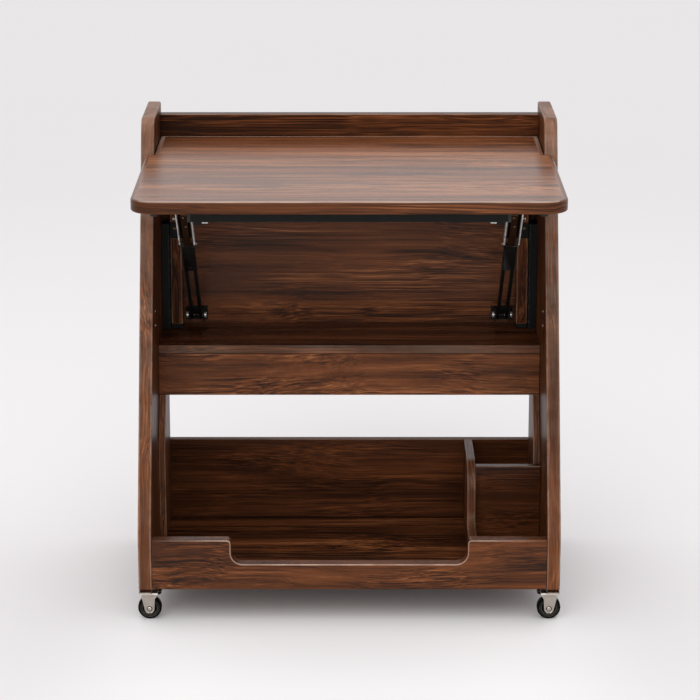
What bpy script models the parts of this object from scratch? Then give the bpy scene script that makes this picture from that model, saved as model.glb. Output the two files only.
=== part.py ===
"""Kids desk on casters, of laminated board and steel fittings.

The T-shaped desktop lifts between two slanted side panels on a pair of vertical slides and is propped by two
telescoping stays. Sizes are in metres, the floor is at zero, and the front faces -Y. A depth is measured
forward from the rear edge of the side panels.
"""

import math

import bmesh
import bpy
from mathutils import Matrix, Vector

for old in list(bpy.data.objects):
    bpy.data.objects.remove(old, do_unlink=True)

# Boards
SEAT = 0.0003
PANEL_BOARD = 0.018
THIN_BOARD = 0.012
INNER_WIDTH = 0.534
EDGE_ROUND = 0.002

# Side panels
EAR_DEPTH = 0.155
EAR_RISE = 0.045
EAR_CORNER = 0.018
BASE_DEPTH = 0.348
KINK_RISE = 0.078
KINK_RADIUS = 0.040
PANEL_CORNER = 0.004

# Desktop
DESK_DEPTH = 0.470
TOP_HEIGHT = 0.607
TOP_BOARD = 0.016
TOP_OVERHANG = 0.010
TOP_CORNER = 0.030
TOP_STEP_CORNER = 0.003
TOP_SIDE_GAP = 0.001
TOP_STEP_GAP = 0.0015
TOP_REAR_GAP = 0.0008

# Gallery rail and compartment
GALLERY_BOARD = 0.018
GALLERY_SETIN = 0.0092
GALLERY_RISE = 0.031
GALLERY_DROP = 0.032
BACK_SETIN = 0.002
SHELF_HEIGHT = 0.331
APRON_BOARD = 0.015
APRON_FRONT = 0.141
APRON_HEIGHT = 0.072

# Lower tray
TRAY_SETIN = 0.067
TRAY_RISE = 0.001
LOWER_BACK_HEIGHT = 0.119
FRONT_RAIL_RISE = 0.0024
FRONT_RAIL_HEIGHT = 0.070
NOTCH_WIDTH = 0.320
NOTCH_DEPTH = 0.034
NOTCH_RADIUS = 0.016
NOTCH_LIP = 0.005
PARTITION_STEP = 0.0045
PARTITION_LEAD = 0.014
PARTITION_CORNER = 0.035
PARTITION_SWEEP = 0.020
PARTITION_LOW = 0.032
POCKET_FRONT = 0.191
POCKET_HEIGHT = 0.114
UPRIGHT_BOARD = 0.009
UPRIGHT_SHOULDER = 0.069

# Vertical slides and posts
SLIDE_DEPTH = 0.0118
SLIDE_WIDTH = 0.027
SLIDE_WALL = 0.0015
SLIDE_SLOT = 0.012
SLIDE_PLAY = 0.0005
SLIDE_DROP = 0.106
POST_WIDTH = 0.016
POST_DEPTH = 0.018
POST_GAP = 0.0005
POST_FOOT = 0.006
CLEAT_LENGTH = 0.125
ANGLE_SHEET = 0.002
ANGLE_RISE = 0.0225

# Telescoping stays
STAY_GAP = 0.0033
PIN_RADIUS = 0.0025
PIN_PLAY = 0.0001
PIN_HEAD_RADIUS = 0.0042
PIN_HEAD = 0.0032
CLEVIS_PLATE = 0.031
CLEVIS_HEIGHT = 0.020
CLEVIS_REACH = 0.014
CLEVIS_NOSE = 0.006
FITTING_SHEET = 0.002
FITTING_PLAY = 0.0004
STAY_FOOT_RISE = 0.0155
FORK_WIDTH = 0.0172
ROD_WIDTH = 0.0048
ROD_DEPTH = 0.007
FORK_NOSE = 0.007
ROD_LENGTH = 0.157
HEAD_LENGTH = 0.077
HEAD_PLAY = 0.0005
BAR_PLAY = 0.005
BAR_SHORTFALL = 0.041
CHANNEL_WIDTH = 0.022
CHANNEL_HEIGHT = 0.012
CHANNEL_WALL = 0.0015
CHANNEL_LIP = 0.002
CHANNEL_LENGTH = 0.127
CHANNEL_NOSE = 0.008
HANGER_SETBACK = 0.152
HANGER_DROP = 0.013
HANGER_PLATE = 0.042
HANGER_LENGTH = 0.024
HANGER_NOSE = 0.006

# Stiffener and bumpers under the desktop
STIFFENER_SETBACK = 0.040
STIFFENER_WIDTH = 0.025
STIFFENER_HEIGHT = 0.018
STIFFENER_SHEET = 0.002
STIFFENER_INSET = 0.014
BUMPER_RADIUS = 0.0055
BUMPER_HEIGHT = 0.0045
BUMPER_SETBACK = 0.015
BUMPER_INSET = 0.031

# Casters
WHEEL_RADIUS = 0.016
WHEEL_WIDTH = 0.013
WHEEL_GAP = 0.0046
WHEEL_STEPS = 28
TREAD_ROUND = 0.0016
DISC_RADIUS = 0.0115
DISC_RECESS = 0.0014
HUB_RADIUS = 0.0052
TRAIL = 0.005
FORK_CROWN = 0.022
FORK_SHOULDER = 0.006
FORK_SHEET = 0.0016
FORK_PLAY = 0.001
FORK_END = 0.0065
AXLE_RADIUS = 0.002
AXLE_HEAD_RADIUS = 0.0038
AXLE_HEAD = 0.0014
RACE_RADIUS = 0.0085
RACE_HEIGHT = 0.0022
PLATE_SHEET = 0.002
PLATE_LENGTH = 0.040
FRONT_CASTER_SETBACK = 0.014
REAR_CASTER_DEPTH = 0.024
PEDAL_LENGTH = 0.0048
PEDAL_WIDTH = 0.012
PEDAL_LIP = 0.002

# Places that follow from the sizes above
ARC_STEP = math.radians(15)
SIDES = (("left", -1), ("right", 1))
half = INNER_WIDTH / 2
panel_foot = 2 * WHEEL_RADIUS + WHEEL_GAP + FORK_SHEET + RACE_HEIGHT + PLATE_SHEET + 2 * SEAT
kink_height = panel_foot + KINK_RISE
ear_top = TOP_HEIGHT + EAR_RISE
top_under = TOP_HEIGHT - TOP_BOARD
back_front = BACK_SETIN + THIN_BOARD
top_rear = GALLERY_SETIN + GALLERY_BOARD + TOP_REAR_GAP
tray_top = panel_foot + TRAY_RISE + THIN_BOARD
tray_seat = tray_top + SEAT
rail_rear = BASE_DEPTH - PANEL_BOARD
apron_under = SHELF_HEIGHT - APRON_HEIGHT
partition_left = NOTCH_WIDTH / 2 + PARTITION_STEP
partition_front = POCKET_FRONT + PARTITION_LEAD
upright_front = POCKET_FRONT - THIN_BOARD - SEAT


def y_at(depth):
    """World Y of a depth measured forward from the rear edge of the side panels."""
    return DESK_DEPTH / 2 - depth


def front_edge(height):
    """Depth of the side panels' slanted front edge at a height above the kink."""
    lean = (BASE_DEPTH - EAR_DEPTH) / (TOP_HEIGHT - kink_height)
    return EAR_DEPTH + lean * (TOP_HEIGHT - height)


# Shapes

AXES = {
    "X": lambda u, v, w: (w, u, v),
    "Y": lambda u, v, w: (u, w, v),
    "Z": lambda u, v, w: (u, v, w),
}


def rounded(corners):
    """Outline through (u, v, radius) corners, each rounded by an arc of its radius."""
    outline = []
    for index, (u, v, radius) in enumerate(corners):
        here = Vector((u, v))
        if radius == 0:
            outline.append(here)
            continue
        before = (Vector(corners[index - 1][:2]) - here).normalized()
        after = (Vector(corners[(index + 1) % len(corners)][:2]) - here).normalized()
        half_angle = before.angle(after) / 2
        centre = here + (before + after).normalized() * radius / math.sin(half_angle)
        start = here + before * radius / math.tan(half_angle) - centre
        end = here + after * radius / math.tan(half_angle) - centre
        first = math.atan2(start.y, start.x)
        sweep = (math.atan2(end.y, end.x) - first + math.pi) % (2 * math.pi) - math.pi
        steps = max(2, math.ceil(abs(sweep) / ARC_STEP))
        for step in range(steps + 1):
            angle = first + sweep * step / steps
            outline.append(centre + radius * Vector((math.cos(angle), math.sin(angle))))
    return outline


def square(points):
    """Outline through plain (u, v) points."""
    return [Vector(point) for point in points]


def finished(bm, name):
    """The bmesh as a new mesh with its faces pointing outwards."""
    bmesh.ops.recalc_face_normals(bm, faces=bm.faces)
    mesh = bpy.data.meshes.new(name)
    bm.to_mesh(mesh)
    bm.free()
    return mesh


def prism(outline, axis, start, end):
    """A flat outline carried straight along an axis."""
    bm = bmesh.new()
    rings = [[bm.verts.new(AXES[axis](u, v, w)) for u, v in outline] for w in (start, end)]
    for ring in rings:
        bm.faces.new(ring)
    for i in range(len(outline)):
        bm.faces.new((rings[0][i - 1], rings[0][i], rings[1][i], rings[1][i - 1]))
    return finished(bm, "prism")


def block(xs, depths, heights):
    """A plain board or bar between two X values, two depths and two heights."""
    ys = [y_at(depth) for depth in depths]
    outline = square([(xs[0], ys[0]), (xs[1], ys[0]), (xs[1], ys[1]), (xs[0], ys[1])])
    return prism(outline, "Z", *heights)


def turned(profile, axis, centre, steps, looped=False):
    """A profile of (radius, place along the axis) turned about that axis; looped profiles keep a bore."""
    bm = bmesh.new()
    rings = []
    for radius, along in profile:
        count = steps if radius > 0 else 1
        angles = [2 * math.pi * (step + 0.5) / steps for step in range(count)]
        places = [AXES[axis](radius * math.cos(a), radius * math.sin(a), along) for a in angles]
        rings.append([bm.verts.new(Vector(place) + Vector(centre)) for place in places])
    pairs = list(zip(rings, rings[1:])) + ([(rings[-1], rings[0])] if looped else [])
    for first, second in pairs:
        for i in range(steps):
            places = ((first, i), (first, i + 1), (second, i + 1), (second, i))
            corners = [ring[place % len(ring)] for ring, place in places]
            bm.faces.new(list(dict.fromkeys(corners)))
    return finished(bm, "turned")


def rod(radius, axis, centre, length):
    """A plain round bar or cutter, centred on a point."""
    ends = (-length / 2, length / 2)
    profile = [(0, ends[0]), (radius, ends[0]), (radius, ends[1]), (0, ends[1])]
    return turned(profile, axis, centre, 20)


def headed_pin(radius, head_radius, head, grip, axis, centre):
    """A pin whose two round heads stand outside the grip between them."""
    inner = grip / 2
    outer = inner + head
    profile = [
        (0, -outer), (head_radius, -outer), (head_radius, -inner), (radius, -inner),
        (radius, inner), (head_radius, inner), (head_radius, outer), (0, outer),
    ]
    return turned(profile, axis, centre, 16)


def combined(mesh, others, operation):
    """The mesh after a Boolean with each of the other meshes."""
    objects = [bpy.data.objects.new("shape", shape) for shape in (mesh, *others)]
    for shape in objects:
        bpy.context.scene.collection.objects.link(shape)
    for other in objects[1:]:
        modifier = objects[0].modifiers.new(operation, "BOOLEAN")
        modifier.operation = operation
        modifier.object = other
    graph = bpy.context.evaluated_depsgraph_get()
    result = bpy.data.meshes.new_from_object(objects[0].evaluated_get(graph))
    for shape in objects:
        bpy.data.objects.remove(shape, do_unlink=True)
    return result


# Materials and placing


def material(name, colour, roughness, metallic=0.0):
    made = bpy.data.materials.new(name)
    made.use_nodes = True
    shader = made.node_tree.nodes["Principled BSDF"]
    shader.inputs["Base Color"].default_value = (*colour, 1.0)
    shader.inputs["Roughness"].default_value = roughness
    shader.inputs["Metallic"].default_value = metallic
    return made


walnut = material("walnut_laminate", (0.075, 0.030, 0.016), 0.38)
black_steel = material("black_steel", (0.022, 0.021, 0.020), 0.45, 0.6)
bright_steel = material("bright_steel", (0.62, 0.61, 0.58), 0.28, 1.0)
wheel_black = material("wheel_black", (0.012, 0.012, 0.013), 0.42)
bumper_rubber = material("bumper_rubber", (0.015, 0.015, 0.016), 0.75)


def assembly(name, place=(0, 0, 0)):
    """An empty that carries one moving or fixed group, standing on its joint's axis."""
    empty = bpy.data.objects.new(name, None)
    empty.location = place
    bpy.context.scene.collection.objects.link(empty)
    return empty


def part(name, mesh, finish, group, pivot=(0, 0, 0), edge=0.0):
    """One named piece from a mesh in world space, with its origin on the pivot and its edges rounded."""
    mesh.name = name
    mesh.transform(Matrix.Translation(-Vector(pivot)))
    mesh.materials.append(finish)
    mesh.shade_smooth()
    mesh.set_sharp_from_angle(angle=math.radians(35))
    piece = bpy.data.objects.new(name, mesh)
    bpy.context.scene.collection.objects.link(piece)
    piece.parent = group
    piece.matrix_parent_inverse = Matrix.Translation(-group.location)
    piece.location = pivot
    if edge:
        bevel = piece.modifiers.new("edge", "BEVEL")
        bevel.width = edge
        bevel.segments = 2
        bevel.limit_method = "ANGLE"
        bevel.angle_limit = math.radians(50)
    return piece


carcass = assembly("carcass")
lifting_top = assembly("lifting_top", (0, y_at(top_rear), top_under))

# Side panels, with their ears beside the desktop

panel_outline = rounded([
    (y_at(0), panel_foot, PANEL_CORNER),
    (y_at(BASE_DEPTH), panel_foot, PANEL_CORNER),
    (y_at(BASE_DEPTH), kink_height, KINK_RADIUS),
    (y_at(front_edge(ear_top)), ear_top, EAR_CORNER),
    (y_at(0), ear_top, PANEL_CORNER),
])
for name, side in SIDES:
    panel = prism(panel_outline, "X", side * half, side * (half + PANEL_BOARD))
    part(f"{name}_side_panel", panel, walnut, carcass, edge=EDGE_ROUND)

# Gallery rail and open compartment

seat_half = half - SEAT
across = (-seat_half, seat_half)
gallery_bottom = TOP_HEIGHT - GALLERY_DROP
gallery_depths = (GALLERY_SETIN, GALLERY_SETIN + GALLERY_BOARD)
gallery = block(across, gallery_depths, (gallery_bottom, TOP_HEIGHT + GALLERY_RISE))
part("gallery_rail", gallery, walnut, carcass, edge=EDGE_ROUND)

shelf_under = SHELF_HEIGHT - THIN_BOARD
back = block(across, (BACK_SETIN, back_front), (shelf_under, gallery_bottom - SEAT))
part("compartment_back_panel", back, walnut, carcass)

apron_rear = APRON_FRONT - APRON_BOARD
shelf = block(across, (back_front + SEAT, APRON_FRONT), (shelf_under, SHELF_HEIGHT))
part("compartment_shelf", shelf, walnut, carcass, edge=EDGE_ROUND)

apron = block(across, (apron_rear, APRON_FRONT), (apron_under, shelf_under - SEAT))
part("compartment_apron", apron, walnut, carcass, edge=EDGE_ROUND)

# Lower tray: floor, uprights, back, notched front rail, partition and pocket board

tray_floor = block(across, (TRAY_SETIN, rail_rear - SEAT), (tray_top - THIN_BOARD, tray_top))
part("lower_shelf", tray_floor, walnut, carcass)

upright_top = apron_under - SEAT
upright_outline = square([
    (y_at(TRAY_SETIN), tray_seat),
    (y_at(upright_front), tray_seat),
    (y_at(upright_front), upright_top - UPRIGHT_SHOULDER),
    (y_at(APRON_FRONT), upright_top),
    (y_at(TRAY_SETIN), upright_top),
])
for name, side in SIDES:
    upright = prism(upright_outline, "X", side * seat_half, side * (seat_half - UPRIGHT_BOARD))
    part(f"{name}_inner_upright", upright, walnut, carcass, edge=EDGE_ROUND)

lower_back_half = seat_half - UPRIGHT_BOARD - SEAT
lower_back_front = TRAY_SETIN + THIN_BOARD
lower_back_top = tray_top + LOWER_BACK_HEIGHT
lower_back_span = (-lower_back_half, lower_back_half)
lower_back = block(lower_back_span, (TRAY_SETIN, lower_back_front), (tray_seat, lower_back_top))
part("lower_back_panel", lower_back, walnut, carcass, edge=EDGE_ROUND)

rail_under = panel_foot + FRONT_RAIL_RISE
rail_top = rail_under + FRONT_RAIL_HEIGHT
notch_half = NOTCH_WIDTH / 2
rail_outline = rounded([
    (-seat_half, rail_under, 0),
    (seat_half, rail_under, 0),
    (seat_half, rail_top, 0),
    (notch_half, rail_top, NOTCH_LIP),
    (notch_half, rail_top - NOTCH_DEPTH, NOTCH_RADIUS),
    (-notch_half, rail_top - NOTCH_DEPTH, NOTCH_RADIUS),
    (-notch_half, rail_top, NOTCH_LIP),
    (-seat_half, rail_top, 0),
])
front_rail = prism(rail_outline, "Y", y_at(rail_rear), y_at(BASE_DEPTH))
part("lower_front_rail", front_rail, walnut, carcass, edge=EDGE_ROUND)

partition_rear = lower_back_front + SEAT
partition_end = rail_rear - SEAT
low_top = tray_top + PARTITION_LOW
partition_outline = rounded([
    (y_at(partition_rear), tray_seat, 0),
    (y_at(partition_end), tray_seat, 0),
    (y_at(partition_end), low_top, PANEL_CORNER),
    (y_at(partition_front), low_top, PARTITION_SWEEP),
    (y_at(partition_front), lower_back_top, PARTITION_CORNER),
    (y_at(partition_rear), lower_back_top, 0),
])
partition = prism(partition_outline, "X", partition_left, partition_left + THIN_BOARD)
part("partition", partition, walnut, carcass, edge=EDGE_ROUND)

pocket_span = (partition_left + THIN_BOARD + SEAT, seat_half)
pocket_depths = (POCKET_FRONT - THIN_BOARD, POCKET_FRONT)
pocket = block(pocket_span, pocket_depths, (tray_seat, tray_top + POCKET_HEIGHT))
part("pocket_front", pocket, walnut, carcass, edge=EDGE_ROUND)

# Desktop: narrow between the ears, wide in front of the panels

narrow = half - TOP_SIDE_GAP
wide = half + TOP_OVERHANG
step_y = y_at(front_edge(top_under) + TOP_STEP_GAP)
right_edge = [
    (narrow, y_at(top_rear), 0),
    (narrow, step_y, 0),
    (wide, step_y, TOP_STEP_CORNER),
    (wide, y_at(DESK_DEPTH), TOP_CORNER),
]
left_edge = [(-x, y, radius) for x, y, radius in reversed(right_edge)]
desktop = prism(rounded(right_edge + left_edge), "Z", top_under, TOP_HEIGHT)
part("desktop", desktop, walnut, lifting_top, pivot=lifting_top.location, edge=EDGE_ROUND)

# Vertical slides: a lipped rail on each panel, and a runner that carries the wooden post

post_rear = top_rear + POST_GAP
post_depths = (post_rear, post_rear + POST_DEPTH)
slide_y = y_at(post_rear + POST_DEPTH / 2)
shelf_seat = SHELF_HEIGHT + SEAT
slide_heights = (shelf_seat, top_under - SLIDE_DROP)
post_bottom = shelf_seat + POST_FOOT + SEAT
cleat_top = top_under - SEAT
cleat_bottom = cleat_top - CLEAT_LENGTH
post_top = cleat_bottom - ANGLE_SHEET - 2 * SEAT
post_outer = seat_half - SLIDE_DEPTH - SLIDE_PLAY
post_inner = post_outer - POST_WIDTH

slide_half = SLIDE_WIDTH / 2
cavity_half = slide_half - SLIDE_WALL
lip = SLIDE_DEPTH - SLIDE_WALL
slot_half = SLIDE_SLOT / 2
rail_shape = [
    (0, slide_half), (SLIDE_DEPTH, slide_half), (SLIDE_DEPTH, slot_half),
    (lip, slot_half), (lip, cavity_half), (SLIDE_WALL, cavity_half),
]
runner_half = cavity_half - SLIDE_PLAY
neck_half = slot_half - SLIDE_PLAY
neck_end = SLIDE_DEPTH + SLIDE_PLAY - SEAT
runner_shape = [
    (SLIDE_WALL + SLIDE_PLAY, runner_half), (lip - SLIDE_PLAY, runner_half),
    (lip - SLIDE_PLAY, neck_half), (neck_end, neck_half),
]


def slide_section(shape, side):
    """Both halves of a slide's cross-section, from distances off the panel and off the slide's middle."""
    front = [(side * (seat_half - off), slide_y - along) for off, along in shape]
    rear = [(side * (seat_half - off), slide_y + along) for off, along in reversed(shape)]
    return square(front + rear)


for name, side in SIDES:
    slide_rail = prism(slide_section(rail_shape, side), "Z", *slide_heights)
    part(f"{name}_slide_rail", slide_rail, black_steel, carcass)
    runner = prism(slide_section(runner_shape, side), "Z", post_bottom, post_top)
    part(f"{name}_slide_runner", runner, black_steel, lifting_top, lifting_top.location)

    post_span = (side * post_outer, side * post_inner)
    foot = block(post_span, post_depths, (shelf_seat, shelf_seat + POST_FOOT))
    part(f"{name}_post_foot", foot, black_steel, lifting_top, lifting_top.location)
    post = block(post_span, post_depths, (post_bottom, post_top))
    part(f"{name}_lift_post", post, walnut, lifting_top, lifting_top.location, EDGE_ROUND)
    cleat = block(post_span, post_depths, (cleat_bottom, cleat_top))
    part(f"{name}_post_cleat", cleat, walnut, lifting_top, lifting_top.location, EDGE_ROUND)

    angle_bottom = post_top + SEAT
    angle_front = post_depths[1] + SEAT
    angle_outline = square([
        (y_at(post_depths[0]), angle_bottom),
        (y_at(angle_front + ANGLE_SHEET), angle_bottom),
        (y_at(angle_front + ANGLE_SHEET), angle_bottom + ANGLE_RISE),
        (y_at(angle_front), angle_bottom + ANGLE_RISE),
        (y_at(angle_front), angle_bottom + ANGLE_SHEET),
        (y_at(post_depths[0]), angle_bottom + ANGLE_SHEET),
    ])
    angle = prism(angle_outline, "X", *post_span)
    part(f"{name}_post_bracket", angle, black_steel, lifting_top, lifting_top.location)

# Telescoping stays: a fork on the compartment back, a channel under the desktop

stay_x = post_inner - STAY_GAP - CLEVIS_PLATE / 2
foot_pivot = Vector((stay_x, y_at(back_front + CLEVIS_REACH), SHELF_HEIGHT + STAY_FOOT_RISE))
head_pivot = Vector((stay_x, y_at(DESK_DEPTH - HANGER_SETBACK), top_under - HANGER_DROP))
stay_length = (head_pivot - foot_pivot).length
along = (head_pivot - foot_pivot).normalized()
outward = Vector((1, 0, 0)).cross(along)
stay_turn = Matrix((Vector((1, 0, 0)), along, outward)).transposed().to_4x4()

fork_half = FORK_WIDTH / 2
gap_half = fork_half - ROD_WIDTH
head_half = CHANNEL_WIDTH / 2 - CHANNEL_WALL - HEAD_PLAY
bar_half = CHANNEL_WIDTH / 2 - CHANNEL_WALL - BAR_PLAY
head_end = ROD_LENGTH + HEAD_LENGTH
fork_side = [
    (bar_half, stay_length - BAR_SHORTFALL), (bar_half, head_end), (head_half, head_end),
    (head_half, ROD_LENGTH), (fork_half, ROD_LENGTH), (fork_half, -FORK_NOSE),
    (gap_half, -FORK_NOSE), (gap_half, ROD_LENGTH),
]
fork_outline = square(fork_side + [(-x, place) for x, place in reversed(fork_side)])

channel_half = CHANNEL_WIDTH / 2
web = -CHANNEL_HEIGHT / 2
channel_inner = channel_half - CHANNEL_WALL
channel_side = [
    (channel_half, web), (channel_half, -web), (channel_inner - CHANNEL_LIP, -web),
    (channel_inner - CHANNEL_LIP, -web - CHANNEL_WALL), (channel_inner, -web - CHANNEL_WALL),
    (channel_inner, web + CHANNEL_WALL),
]
channel_outline = square(channel_side + [(-x, rise) for x, rise in reversed(channel_side)])

clevis_inner = fork_half + FITTING_PLAY
clevis_outer = clevis_inner + FITTING_SHEET
clevis_depths = [back_front + SEAT, back_front + SEAT + FITTING_SHEET, back_front + CLEVIS_REACH + CLEVIS_NOSE]
clevis_side = [
    (CLEVIS_PLATE / 2, y_at(clevis_depths[0])), (CLEVIS_PLATE / 2, y_at(clevis_depths[1])),
    (clevis_outer, y_at(clevis_depths[1])), (clevis_outer, y_at(clevis_depths[2])),
    (clevis_inner, y_at(clevis_depths[2])), (clevis_inner, y_at(clevis_depths[1])),
]
clevis_outline = clevis_side + [(-x, y) for x, y in reversed(clevis_side)]

hanger_inner = channel_half + FITTING_PLAY
hanger_outer = hanger_inner + FITTING_SHEET
plate_under = cleat_top - FITTING_SHEET
hanger_end = head_pivot.z - HANGER_NOSE
hanger_side = [
    (HANGER_PLATE / 2, cleat_top), (HANGER_PLATE / 2, plate_under), (hanger_outer, plate_under),
    (hanger_outer, hanger_end), (hanger_inner, hanger_end), (hanger_inner, plate_under),
]
hanger_outline = hanger_side + [(-x, z) for x, z in reversed(hanger_side)]

pin_bore = PIN_RADIUS + PIN_PLAY
bore_length = CLEVIS_PLATE + HANGER_PLATE
for name, side in SIDES:
    foot = Vector((side * foot_pivot.x, *foot_pivot.yz))
    head = Vector((side * head_pivot.x, *head_pivot.yz))
    fork_group = assembly(f"{name}_stay_fork_axis", foot)
    channel_group = assembly(f"{name}_stay_channel_axis", head)

    fork = prism(fork_outline, "Z", -ROD_DEPTH / 2, ROD_DEPTH / 2)
    fork.transform(Matrix.Translation(foot) @ stay_turn)
    fork = combined(fork, [rod(pin_bore, "X", foot, bore_length)], "DIFFERENCE")
    part(f"{name}_stay_fork", fork, black_steel, fork_group, foot)

    channel = prism(channel_outline, "Y", -CHANNEL_LENGTH, CHANNEL_NOSE)
    channel.transform(Matrix.Translation(head) @ stay_turn)
    channel = combined(channel, [rod(pin_bore, "X", head, bore_length)], "DIFFERENCE")
    part(f"{name}_stay_channel", channel, bright_steel, channel_group, head)

    clevis_heights = (foot.z - CLEVIS_HEIGHT / 2, foot.z + CLEVIS_HEIGHT / 2)
    clevis = prism(square([(foot.x + x, y) for x, y in clevis_outline]), "Z", *clevis_heights)
    clevis = combined(clevis, [rod(pin_bore, "X", foot, bore_length)], "DIFFERENCE")
    part(f"{name}_stay_bracket", clevis, black_steel, carcass)
    grip = 2 * (clevis_outer + SEAT)
    pin = headed_pin(PIN_RADIUS, PIN_HEAD_RADIUS, PIN_HEAD, grip, "X", foot)
    part(f"{name}_stay_pin", pin, bright_steel, carcass)

    hanger_ys = (head.y - HANGER_LENGTH / 2, head.y + HANGER_LENGTH / 2)
    hanger = prism(square([(head.x + x, z) for x, z in hanger_outline]), "Y", *hanger_ys)
    hanger = combined(hanger, [rod(pin_bore, "X", head, bore_length)], "DIFFERENCE")
    part(f"{name}_stay_hanger", hanger, bright_steel, lifting_top, lifting_top.location)
    grip = 2 * (hanger_outer + SEAT)
    pin = headed_pin(PIN_RADIUS, PIN_HEAD_RADIUS, PIN_HEAD, grip, "X", head)
    part(f"{name}_hanger_pin", pin, bright_steel, lifting_top, lifting_top.location)

# Stiffener angle and rubber bumpers under the front of the desktop

stiffener_front = DESK_DEPTH - STIFFENER_SETBACK
stiffener_half = stay_x - STIFFENER_INSET
stiffener_outline = square([
    (y_at(stiffener_front), cleat_top),
    (y_at(stiffener_front), cleat_top - STIFFENER_HEIGHT),
    (y_at(stiffener_front - STIFFENER_SHEET), cleat_top - STIFFENER_HEIGHT),
    (y_at(stiffener_front - STIFFENER_SHEET), cleat_top - STIFFENER_SHEET),
    (y_at(stiffener_front - STIFFENER_WIDTH), cleat_top - STIFFENER_SHEET),
    (y_at(stiffener_front - STIFFENER_WIDTH), cleat_top),
])
stiffener = prism(stiffener_outline, "X", -stiffener_half, stiffener_half)
part("stiffener_bar", stiffener, black_steel, lifting_top, lifting_top.location)

for name, side in SIDES:
    bumper_place = (side * (wide - BUMPER_INSET), y_at(DESK_DEPTH - BUMPER_SETBACK), cleat_top - BUMPER_HEIGHT / 2)
    bumper = rod(BUMPER_RADIUS, "Z", bumper_place, BUMPER_HEIGHT)
    part(f"{name}_bumper", bumper, bumper_rubber, lifting_top, lifting_top.location)

# Casters: a plate under the panel, a swivel fork, a wheel on its axle, and a brake pedal on the front pair

plate_bottom = panel_foot - SEAT - PLATE_SHEET
crown_top = plate_bottom - RACE_HEIGHT - SEAT
crown_under = crown_top - FORK_SHEET
crown_half = FORK_CROWN / 2
leg_inner = WHEEL_WIDTH / 2 + FORK_PLAY
leg_outer = leg_inner + FORK_SHEET
axle_bore = AXLE_RADIUS + PIN_PLAY
rim = WHEEL_WIDTH / 2
facet = 1 / math.cos(math.pi / WHEEL_STEPS)
wheel_side = [
    (axle_bore, rim), (HUB_RADIUS, rim), (HUB_RADIUS, rim - DISC_RECESS), (DISC_RADIUS, rim - DISC_RECESS),
    (DISC_RADIUS, rim), (WHEEL_RADIUS * facet - TREAD_ROUND, rim), (WHEEL_RADIUS * facet, rim - TREAD_ROUND),
]
wheel_profile = wheel_side + [(radius, -place) for radius, place in reversed(wheel_side)]

CASTERS = [
    (f"{row}_{name}", side, depth, row == "front")
    for row, depth in (("front", BASE_DEPTH - FRONT_CASTER_SETBACK), ("rear", REAR_CASTER_DEPTH))
    for name, side in SIDES
]
for name, side, depth, braked in CASTERS:
    x = side * (half + PANEL_BOARD / 2)
    y = y_at(depth)
    axle = Vector((x - side * TRAIL, y, WHEEL_RADIUS))
    swivel = assembly(f"{name}_caster_swivel", (x, y, crown_top))

    plate_half = PANEL_BOARD / 2 - SEAT
    plate_outline = square([
        (x - plate_half, y - PLATE_LENGTH / 2), (x + plate_half, y - PLATE_LENGTH / 2),
        (x + plate_half, y + PLATE_LENGTH / 2), (x - plate_half, y + PLATE_LENGTH / 2),
    ])
    plate = prism(plate_outline, "Z", plate_bottom, plate_bottom + PLATE_SHEET)
    race_top = plate_bottom + PLATE_SHEET / 2
    race_bottom = plate_bottom - RACE_HEIGHT
    race = rod(RACE_RADIUS, "Z", (x, y, (race_top + race_bottom) / 2), race_top - race_bottom)
    plate = combined(plate, [race], "UNION")
    part(f"{name}_caster_plate", plate, bright_steel, carcass)

    leg_end = axle.z - FORK_END
    bent = [
        (leg_outer, leg_end), (leg_outer, crown_top), (-leg_outer, crown_top), (-leg_outer, leg_end),
        (-leg_inner, leg_end), (-leg_inner, crown_under), (leg_inner, crown_under), (leg_inner, leg_end),
    ]
    sheet = prism(square([(y + across_y, z) for across_y, z in bent]), "X", axle.x - crown_half, axle.x + crown_half)
    blank = rounded([
        (axle.x - crown_half, crown_top + FORK_SHEET, 0),
        (axle.x + crown_half, crown_top + FORK_SHEET, 0),
        (axle.x + crown_half, crown_top - FORK_SHOULDER, 0),
        (axle.x + FORK_END, leg_end, FORK_END - SEAT),
        (axle.x - FORK_END, leg_end, FORK_END - SEAT),
        (axle.x - crown_half, crown_top - FORK_SHOULDER, 0),
    ])
    blank = prism(blank, "Y", y - 2 * leg_outer, y + 2 * leg_outer)
    fork = combined(sheet, [blank], "INTERSECT")
    fork = combined(fork, [rod(axle_bore, "Y", axle, 4 * leg_outer)], "DIFFERENCE")
    part(f"{name}_caster_fork", fork, bright_steel, swivel, swivel.location)

    pin = headed_pin(AXLE_RADIUS, AXLE_HEAD_RADIUS, AXLE_HEAD, 2 * (leg_outer + SEAT), "Y", axle)
    part(f"{name}_caster_axle", pin, bright_steel, swivel, axle)
    wheel = turned(wheel_profile, "Y", axle, WHEEL_STEPS, looped=True)
    part(f"{name}_caster_wheel", wheel, wheel_black, swivel, axle)

    if braked:
        near = axle.x - side * (crown_half + SEAT)
        far = near - side * PEDAL_LENGTH
        pedal_outline = square([
            (near, crown_under - PEDAL_LIP), (far, crown_under),
            (far, crown_top + PEDAL_LIP), (near, crown_top + PEDAL_LIP),
        ])
        pedal = prism(pedal_outline, "Y", y - PEDAL_WIDTH / 2, y + PEDAL_WIDTH / 2)
        hinge = (axle.x - side * (crown_half + SEAT / 2), y, (crown_top + crown_under) / 2)
        part(f"{name}_brake_pedal", pedal, wheel_black, swivel, hinge)
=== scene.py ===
"""Kids desk on casters: dark walnut boards, a lifting T-shaped desktop and its steel fittings."""

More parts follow.
